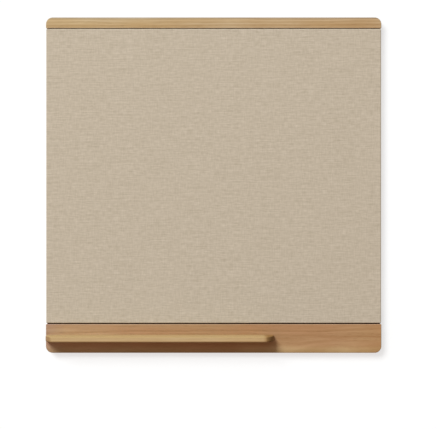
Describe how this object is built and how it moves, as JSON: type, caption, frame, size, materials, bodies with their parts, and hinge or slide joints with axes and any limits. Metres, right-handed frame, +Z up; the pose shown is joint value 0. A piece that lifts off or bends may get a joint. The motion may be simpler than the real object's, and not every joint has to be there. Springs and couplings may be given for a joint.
{
  "type": "pinboard",
  "caption": "Square wall pinboard: oak top and bottom rails clamp a cloth-covered softboard panel, with a fixed oak pen ledge on the lower rail.",
  "frame": {"origin": "on the wall plane, at the upper rail's rear face, midway between the seats of the two wall screws", "axes": "+X to the right as seen from the front, +Y into the wall, +Z up"},
  "size_m": [0.75, 0.062, 0.75],
  "materials": {
    "oak_upper": "oiled oak, pale and yellowish",
    "oak_lower": "oiled oak, redder and darker",
    "oak_ledge": "oiled oak, pale and yellowish",
    "cloth": "plain-woven linen-look cloth, beige",
    "softboard": "pressed wood-fibre softboard",
    "plywood": "sanded poplar plywood",
    "beech": "turned beech",
    "zinc_steel": "zinc-plated steel"
  },
  "bodies": {
    "root": {"top_rail": "oak_upper", "bottom_rail": "oak_lower", "pen_ledge": "oak_ledge", "cloth_cover": "cloth", "softboard": "softboard", "core_board": "plywood", "top_panel_screw_1": "zinc_steel", "top_panel_screw_2": "zinc_steel", "top_panel_screw_3": "zinc_steel", "top_panel_screw_4": "zinc_steel", "bottom_panel_screw_1": "zinc_steel", "bottom_panel_screw_2": "zinc_steel", "bottom_panel_screw_3": "zinc_steel", "bottom_panel_screw_4": "zinc_steel", "ledge_screw_1": "zinc_steel", "ledge_screw_2": "zinc_steel", "ledge_screw_3": "zinc_steel", "ledge_dowel_1": "beech", "ledge_dowel_2": "beech", "left_keyhole_plate": "zinc_steel", "left_plate_screw_1": "zinc_steel", "left_plate_screw_2": "zinc_steel", "right_keyhole_plate": "zinc_steel", "right_plate_screw_1": "zinc_steel", "right_plate_screw_2": "zinc_steel", "left_staple_1": "zinc_steel", "left_staple_2": "zinc_steel", "left_staple_3": "zinc_steel", "left_staple_4": "zinc_steel", "left_staple_5": "zinc_steel", "left_staple_6": "zinc_steel", "left_staple_7": "zinc_steel", "left_staple_8": "zinc_steel", "right_staple_1": "zinc_steel", "right_staple_2": "zinc_steel", "right_staple_3": "zinc_steel", "right_staple_4": "zinc_steel", "right_staple_5": "zinc_steel", "right_staple_6": "zinc_steel", "right_staple_7": "zinc_steel", "right_staple_8": "zinc_steel"}
  },
  "joints": []
}
